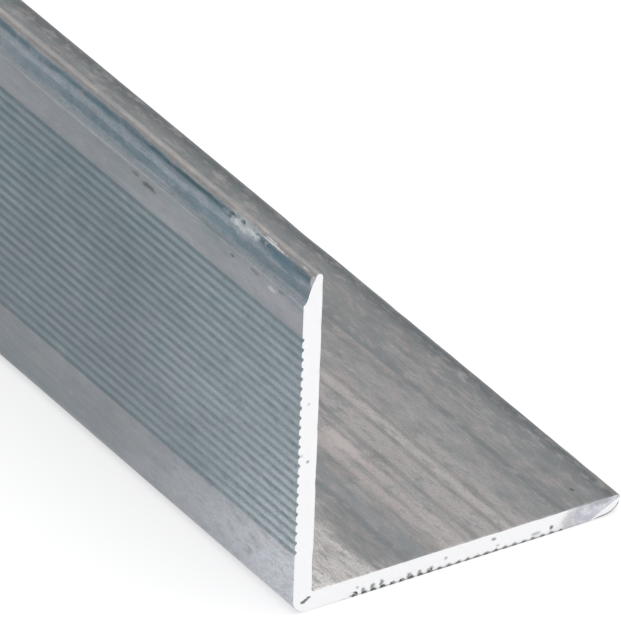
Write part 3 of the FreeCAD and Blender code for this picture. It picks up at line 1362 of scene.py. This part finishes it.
def groove_burrs_and_shade(section: Section, fill: float = 0.93) -> tuple[Burr, ...]:
    """Shape the torn metal that the saw has pushed into the mouths of the floor leg's grooves, dark plugs
    that also stand in for the shade inside the grooves.

    Args:
        section: The section that has the grooves.
        fill: How much of each groove's width and depth the torn metal takes up.

    Returns:
        One small flap for each groove.
    """
    burrs = []
    for middle in section.groove_heights():
        points = section.groove(middle)
        edge = tuple((middle + (height - middle) * fill, depth * fill) for depth, height in points)
        burrs.append(Burr(Leg.FLOOR, edge, face=Surface.TORN, rim=0.02))
    return tuple(burrs)


def streak(from_heel: float, half: float, tone: Colour, strength: float, fray: float = 1.5) -> Mark:
    """Lay a streak or a painted reflection along the whole inner face of the floor leg.

    Args:
        from_heel: How far its middle is from the heel.
        half: Half its width.
        tone: Its colour.
        strength: How much of the colour below it covers.
        fray: How uneven its edges are.

    Returns:
        The streak.
    """
    reach = (half, WHOLE_LENGTH, 1.6)
    return Mark((from_heel, 0.0, 2.0), reach, tone, strength, fray, grain=0.7, stretch=5.0)


def upright_streak_and_painted_light(depth: float, height: float, half: float, tone: Colour, strength: float) -> Mark:
    """Lay a streak, a painted shadow or a painted highlight along the whole tip of the upright leg.

    Args:
        depth: How far its middle is in from the outer face.
        height: How high its middle is.
        half: Half its height.
        tone: Its colour.
        strength: How much of the colour below it covers.

    Returns:
        The streak.
    """
    reach = (0.7, WHOLE_LENGTH, half)
    return Mark((depth, 0.0, height), reach, tone, strength, fray=1.3, grain=1.0, stretch=4.0)


def cut_marks() -> tuple[Mark, ...]:
    """List the pits, tears and stains of the cut end, and the painted shadow along the floor leg's bottom
    edge.

    Returns:
        The marks, with each torn groove of the floor leg after the rest.
    """
    dark = (0.15, 0.16, 0.16)
    grey = (0.32, 0.33, 0.34)
    bright = (0.94, 0.94, 0.945)
    marks = [
        # Painted shadow: a thin dark line along the bottom edge of the floor leg's cut.
        Mark((19.0, 0.0, -0.02), (18.5, 1.0, 0.3), (0.2, 0.21, 0.2), 0.75, 0.5, 2.0),
        Mark((1.1, 0.0, 1.14), (0.4, 1.0, 0.24), dark, 0.95, 0.5, 4.0),
        Mark((1.38, 0.0, 1.3), (0.36, 1.0, 0.2), dark, 0.95, 0.3, 4.0),
        Mark((1.65, 0.0, 1.46), (0.34, 1.0, 0.18), dark, 0.95, 0.5, 4.0),
        Mark((1.05, 0.0, 15.8), (0.22, 1.0, 0.22), grey, 0.8, 0.9, 4.0),
        Mark((0.35, 0.0, 16.6), (0.3, 1.0, 0.2), (0.55, 0.56, 0.57), 0.6, 0.9, 4.0),
        Mark((0.95, 0.0, 21.8), (0.22, 1.0, 0.22), (0.55, 0.56, 0.57), 0.7, 0.9, 4.0),
        Mark((6.85, 0.0, 0.9), (0.22, 1.0, 0.22), (0.45, 0.46, 0.47), 0.7, 1.2, 4.0),
        Mark((16.25, 0.0, 1.0), (0.26, 1.0, 0.26), (0.4, 0.42, 0.43), 0.8, 1.2, 4.0),
        Mark((21.35, 0.0, 1.4), (0.36, 1.0, 0.24), grey, 0.85, 1.1, 4.0),
        Mark((21.8, 0.0, 0.6), (0.26, 1.0, 0.18), (0.5, 0.51, 0.52), 0.7, 1.1, 4.0),
        Mark((25.9, 0.0, 0.55), (0.7, 1.0, 0.26), (0.45, 0.46, 0.46), 0.75, 1.1, 4.0),
        Mark((27.55, 0.0, 0.7), (0.3, 1.0, 0.3), (0.14, 0.14, 0.15), 0.9, 0.9, 4.0),
        Mark((29.3, 0.0, 0.6), (0.8, 1.0, 1.3), (0.58, 0.57, 0.55), 0.65, 2.0, 1.6),
        Mark((30.4, 0.0, 1.0), (0.5, 1.0, 1.3), (0.48, 0.48, 0.52), 0.55, 2.0, 1.6),
        Mark((32.9, 0.0, 1.75), (1.5, 1.0, 0.4), (0.4, 0.4, 0.41), 0.7, 1.4, 2.0),
    ]
    for height, rise, half, hollow in (
        (6.45, 0.3, 0.5, False),
        (7.5, 0.62, 0.34, True),
        (8.5, 0.7, 0.36, True),
        (9.45, 0.8, 0.34, True),
        (10.6, 0.2, 0.34, False),
        (11.6, 0.25, 0.3, False),
        (12.4, 0.62, 0.38, False),
        (13.45, 0.55, 0.36, True),
        (14.6, 0.5, 0.56, True),
    ):
        marks.append(Mark((height, 0.0, rise * 0.45), (half, 1.0, rise * 0.95), dark, 0.8, 1.5, 2.6))
        if hollow:
            inside = (height + half * 0.5, 0.0, rise * 0.5)
            marks.append(Mark(inside, (half * 0.4, 1.0, rise * 0.3), bright, 0.8, 0.6, 4.0))
    return tuple(marks)


@dataclass(frozen=True)
class BarFinishes:
    """The finishes of one bar, laid out from its section and the Y of its near end."""

    section: Section
    near_end: float

    def mill(self, name: str, **values: object) -> MillFinish:
        """Start a mill finish at this bar's heel and near end."""
        return MillFinish(name=name, near_end=self.near_end, heel=self.section.heel, **values)

    def plain(self) -> MillFinish:
        """Finish the smooth bands beside the heel and below the bevel, with painted light that makes them
        paler towards the cut end.

        Returns:
            The finish.
        """
        return self.mill(
            "mill_plain",
            base=(0.282, 0.292, 0.312),
            pale=(0.37, 0.38, 0.41),
            dull=(0.205, 0.22, 0.24),
            warm=(0.33, 0.3, 0.305),
            cool=(0.23, 0.28, 0.295),
            roughness=0.43,
            streaks=(
                # Painted light: the first three make the heel band and the band below the bevel paler
                # towards the cut end.
                Mark((0.0, -6.0, 2.5), (3.0, 40.0, 9.0), (0.54, 0.56, 0.6), 0.85, 0.4, 0.4, 4.0),
                Mark((0.0, -6.0, 2.5), (3.0, 18.0, 9.0), (0.68, 0.7, 0.75), 0.8, 0.5, 0.4, 4.0),
                Mark((0.0, -2.0, 31.0), (3.0, 20.0, 3.0), (0.37, 0.38, 0.41), 0.7, 0.5, 0.4, 4.0),
                Mark(
                    (0.1, 0.0, 32.2), (0.6, WHOLE_LENGTH, 0.42), (0.42, 0.455, 0.48), 0.75, 1.8, 0.8, 6.0
                ),
                Mark((0.0, 14.5, 31.9), (0.6, 5.0, 0.5), (0.21, 0.27, 0.295), 0.6, 2.2, 1.2, 3.0),
                Mark((0.0, 2.6, 31.8), (0.6, 2.6, 0.45), (0.21, 0.27, 0.295), 0.55, 2.2, 1.2, 3.0),
            ),
            marks=(
                Mark((0.0, 5.1, 31.2), (0.6, 0.9, 0.28), (0.5, 0.52, 0.55), 0.8, 1.2, 3.0, 1.5),
                Mark((0.0, 3.6, 31.6), (0.6, 0.6, 0.16), (0.12, 0.13, 0.14), 0.7, 1.2, 3.0, 1.5),
                Mark((0.0, 7.8, 31.5), (0.6, 1.2, 0.28), (0.17, 0.155, 0.14), 0.6, 1.6, 2.5, 2.0),
                Mark((0.0, 11.5, 31.3), (0.6, 0.45, 0.2), (0.1, 0.095, 0.09), 0.75, 1.4, 3.0, 1.5),
                Mark((0.0, 25.3, 31.2), (0.6, 1.6, 0.4), (0.1, 0.085, 0.075), 0.75, 1.6, 1.8, 2.0),
                Mark((0.0, 27.6, 31.4), (0.6, 0.9, 0.25), (0.13, 0.12, 0.11), 0.6, 1.6, 1.8, 2.0),
            ),
        )

    def ribbed(self) -> MillFinish:
        """Finish the ribs and the grooves between them, with painted light near the cut end, painted
        shade farther along and painted shade in the grooves' bottoms.

        Returns:
            The finish.
        """
        return self.mill(
            "mill_ribbed",
            base=(0.25, 0.3, 0.325),
            pale=(0.32, 0.375, 0.4),
            dull=(0.178, 0.222, 0.242),
            warm=(0.28, 0.29, 0.31),
            cool=(0.2, 0.28, 0.305),
            roughness=0.5,
            streaks=(
                # Painted light: the first two make the ribs paler towards the cut end; painted shade: the
                # third darkens them farther along.
                Mark((0.0, -8.0, 10.0), (3.0, 40.0, 30.0), (0.42, 0.48, 0.51), 0.75, 0.4, 0.4, 4.0),
                Mark((0.0, -6.0, 6.0), (3.0, 22.0, 12.0), (0.56, 0.615, 0.645), 0.75, 0.5, 0.4, 4.0),
                Mark((0.0, 60.0, 12.0), (3.0, 44.0, 15.0), (0.2, 0.24, 0.26), 0.5, 0.5, 0.4, 4.0),
            ),
            groove_first=self.section.heel_band,
            groove_pitch=self.section.groove_pitch,
            groove_width=self.section.groove_width,
            # Painted shade in the bottoms of the grooves, strongest near the cut end.
            groove_marks=(
                Mark((0.0, -4.0, 6.0), (3.0, 22.0, 15.0), (0.1, 0.14, 0.15), 0.24, 0.4, 0.4, 4.0),
            ),
        )

    def bevel(self) -> MillFinish:
        """Finish the bevel at each leg's tip, with the scuff on the upright's and with bands of painted
        light and shade along it.

        Returns:
            The finish.
        """
        return self.mill(
            "mill_bevel",
            base=(0.215, 0.265, 0.3),
            pale=(0.33, 0.37, 0.4),
            dull=(0.13, 0.18, 0.21),
            warm=(0.28, 0.27, 0.285),
            cool=(0.145, 0.225, 0.265),
            lines_per_mm=3.0,
            line_run=30.0,
            line_contrast=1.2,
            cloud_size=2.4,
            mottle_size=0.7,
            mottle_strength=0.55,
            wander_size=3.0,
            wander_amount=0.6,
            roughness=0.38,
            streaks=(
                # The band at 33.6 is painted light for a change of slope, the dark band at 34.25 is a die
                # line deepened by painted shadow under the nose, and the band at 34.7 is a painted
                # highlight of the nose's top.
                upright_streak_and_painted_light(0.35, 32.3, 0.45, (0.34, 0.37, 0.4), 0.7),
                upright_streak_and_painted_light(0.8, 33.6, 0.4, (0.36, 0.39, 0.42), 0.75),
                upright_streak_and_painted_light(1.0, 34.25, 0.28, (0.1, 0.155, 0.18), 0.85),
                upright_streak_and_painted_light(1.12, 34.7, 0.2, (0.43, 0.395, 0.385), 0.8),
            ),
            marks=(
                Mark((0.9, 20.5, 34.3), (0.6, 8.5, 0.24), (0.06, 0.1, 0.115), 0.85, 1.7, 1.5, 3.0),
                Mark((0.9, 11.0, 34.25), (0.9, 3.4, 0.75), (0.44, 0.49, 0.51), 0.9, 2.2, 2.0, 1.6),
                Mark((0.9, 12.4, 34.1), (0.9, 1.1, 0.4), (0.62, 0.66, 0.67), 0.85, 2.0, 2.6, 1.4),
                Mark((0.9, 11.2, 33.9), (0.9, 0.9, 0.3), (0.58, 0.6, 0.61), 0.8, 2.0, 2.6, 1.4),
                Mark((0.9, 9.9, 34.2), (0.9, 1.3, 0.3), (0.62, 0.66, 0.66), 0.85, 2.0, 2.6, 1.4),
                Mark((1.0, 13.3, 34.4), (0.6, 0.7, 0.18), (0.08, 0.12, 0.135), 0.8, 1.6, 2.4, 1.4),
                Mark((1.05, 11.6, 34.4), (0.6, 0.5, 0.25), (0.1, 0.145, 0.165), 0.85, 1.6, 2.4, 1.4),
                Mark((1.1, 6.7, 34.6), (0.6, 2.6, 0.11), (0.82, 0.84, 0.85), 0.85, 1.8, 2.6, 2.0),
                Mark((0.85, 4.6, 33.9), (0.8, 4.0, 0.55), (0.12, 0.2, 0.24), 0.8, 1.2, 1.2, 2.5),
                Mark((1.0, 0.1, 34.3), (0.9, 0.55, 0.75), (0.62, 0.59, 0.59), 0.85, 1.0, 2.5),
            ),
        )

    def nose(self) -> MillFinish:
        """Finish the rounded nose at each leg's tip.

        Returns:
            The finish.
        """
        return self.mill(
            "mill_nose",
            base=(0.4, 0.37, 0.36),
            pale=(0.52, 0.485, 0.465),
            dull=(0.25, 0.26, 0.26),
            warm=(0.47, 0.4, 0.375),
            cool=(0.28, 0.315, 0.32),
            cloud_size=2.4,
            mottle_size=0.8,
            mottle_strength=0.55,
            wander_size=3.0,
            wander_amount=0.3,
            roughness=0.4,
            marks=(
                Mark((1.15, 7.2, 34.8), (0.2, 1.7, 0.1), (0.8, 0.81, 0.81), 0.8, 1.8, 3.0, 2.0),
                Mark((1.15, 1.6, 34.8), (0.2, 1.0, 0.1), (0.7, 0.71, 0.71), 0.75, 1.8, 3.0, 2.0),
                Mark((34.9, 0.0, 1.6), (0.6, WHOLE_LENGTH, 0.8), (0.12, 0.14, 0.145), 0.9, 0.6, 1.0, 6.0),
                Mark((1.15, 11.2, 34.8), (0.3, 2.4, 0.14), (0.5, 0.51, 0.5), 0.8, 2.2, 2.6, 1.3),
            ),
        )

    def inner(self) -> MillFinish:
        """Finish the smooth inner faces, which are streaked and clouded most, with a painted reflection
        of the upright beside the inner corner.

        Returns:
            The finish.
        """
        return self.mill(
            "mill_inner",
            base=(0.3, 0.295, 0.292),
            pale=(0.43, 0.41, 0.4),
            dull=(0.2, 0.208, 0.208),
            warm=(0.4, 0.345, 0.33),
            cool=(0.235, 0.262, 0.272),
            lines_per_mm=2.2,
            line_run=26.0,
            line_contrast=2.2,
            cloud_size=4.5,
            cloud_stretch=2.2,
            mottle_size=0.8,
            mottle_stretch=3.5,
            mottle_strength=0.7,
            grain_strength=0.4,
            wander_size=6.0,
            wander_amount=1.2,
            roughness=0.42,
            streaks=(
                # Painted reflection: these two pale strips beside the inner corner stand for the
                # upright's inner face reflected in the floor leg.
                streak(5.8, 5.4, (0.7, 0.665, 0.645), 0.85),
                streak(3.2, 1.8, (0.82, 0.79, 0.77), 0.75),
                streak(12.8, 2.2, (0.27, 0.29, 0.3), 0.75),
                streak(9.3, 0.4, (0.36, 0.355, 0.35), 0.6),
                streak(8.2, 0.3, (0.74, 0.68, 0.66), 0.5),
                streak(7.1, 0.3, (0.42, 0.41, 0.4), 0.55),
                streak(5.1, 0.25, (0.46, 0.44, 0.43), 0.55),
                streak(20.8, 6.6, (0.48, 0.45, 0.435), 0.75),
                streak(16.4, 0.8, (0.56, 0.5, 0.485), 0.6),
                streak(17.8, 0.7, (0.54, 0.485, 0.47), 0.6),
                streak(18.7, 0.3, (0.3, 0.29, 0.285), 0.6),
                streak(12.2, 0.5, (0.18, 0.2, 0.215), 0.65),
                streak(19.7, 0.5, (0.24, 0.24, 0.235), 0.65),
                streak(22.8, 0.5, (0.55, 0.51, 0.5), 0.65),
                streak(21.2, 0.45, (0.46, 0.43, 0.42), 0.6),
                streak(22.05, 0.3, (0.24, 0.235, 0.225), 0.6),
                streak(23.55, 0.35, (0.25, 0.24, 0.23), 0.55),
                streak(26.6, 1.6, (0.36, 0.35, 0.345), 0.5),
                streak(28.75, 0.5, (0.165, 0.19, 0.2), 0.7),
                streak(33.4, 1.8, (0.18, 0.2, 0.206), 0.62),
                Mark((31.0, 66.0, 2.0), (3.0, 52.0, 1.6), (0.2, 0.222, 0.228), 0.65, 1.5, 0.7, 5.0),
                Mark((30.0, -2.0, 2.0), (5.5, 16.0, 1.6), (0.18, 0.2, 0.205), 0.36, 1.2, 0.7, 3.0),
                streak(34.9, 2.0, (0.105, 0.124, 0.13), 0.85, 0.4),
            ),
            marks=(
                Mark((17.9, 19.6, 2.0), (1.1, 4.4, 1.0), (0.55, 0.5, 0.49), 0.5, 1.8, 1.0, 2.0),
                Mark((9.5, 4.5, 2.0), (1.6, 6.0, 1.0), (0.2, 0.21, 0.21), 0.5, 2.4, 0.9, 3.0),
                Mark((31.5, 2.7, 2.0), (0.22, 0.4, 1.0), (0.07, 0.07, 0.07), 0.75, 1.0, 4.0),
            ),
        )

    def torn(self) -> MillFinish:
        """Finish the metal that the saw has torn.

        Returns:
            The finish.
        """
        return self.mill(
            "torn_edge",
            base=(0.26, 0.26, 0.25),
            pale=(0.38, 0.38, 0.37),
            dull=(0.15, 0.155, 0.15),
            warm=(0.3, 0.28, 0.25),
            cool=(0.21, 0.235, 0.235),
            mottle_size=0.3,
            mottle_strength=0.6,
            roughness=0.6,
        )

    def sawn(self) -> SawnFinish:
        """Finish the saw cut at each end.

        Returns:
            The finish.
        """
        return SawnFinish(
            name="saw_cut",
            near_end=self.near_end,
            heel=self.section.heel,
            bright=(0.94, 0.94, 0.945),
            mark=(0.72, 0.72, 0.74),
            dull=(0.55, 0.55, 0.61),
            dull_from=28.6,
            dull_to=30.8,
            groove_first=self.section.heel_band,
            groove_last=self.section.groove_heights()[-1] - self.section.groove_width / 2,
            groove_pitch=self.section.groove_pitch,
            marks=cut_marks(),
        )

    def materials(self, effects: Effects) -> dict[Surface, bpy.types.Material]:
        """Build the material of every surface.

        Args:
            effects: The shared node groups.

        Returns:
            Each surface's material.
        """
        laid = {
            Surface.PLAIN: self.plain(),
            Surface.RIBBED: self.ribbed(),
            Surface.BEVEL: self.bevel(),
            Surface.NOSE: self.nose(),
            Surface.INNER: self.inner(),
            Surface.SAWN: self.sawn(),
            Surface.TORN: self.torn(),
        }
        return {surface: finish.material(effects) for surface, finish in laid.items()}


def main() -> None:
    """Build the bar and the studio round it."""
    logging.basicConfig(level=logging.INFO, format="%(name)s: %(message)s")
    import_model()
    low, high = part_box(CAD_NODE)
    section = Section(leg=(high.x - low.x) / MM)
    near_end = low.y / MM
    # The groove flaps are partly torn metal and partly a dark stand-in for the shade inside the grooves.
    burrs = (floor_burr(), *groove_burrs_and_shade(section))
    maker = AngleBar(section, near_end, high.y / MM, near_nicks(section), burrs)
    bar = maker.build()
    maker.dress(bar, BarFinishes(section, near_end).materials(Effects()))
    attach(bar, "root")
    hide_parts(CAD_NODE)
    LOG.info("%s: %d faces", PIECE, len(bar.data.polygons))
    Studio().set_up()
    Viewpoint().camera()
    LOG.info("studio and camera are in place")


if __name__ == "__main__":
    main()
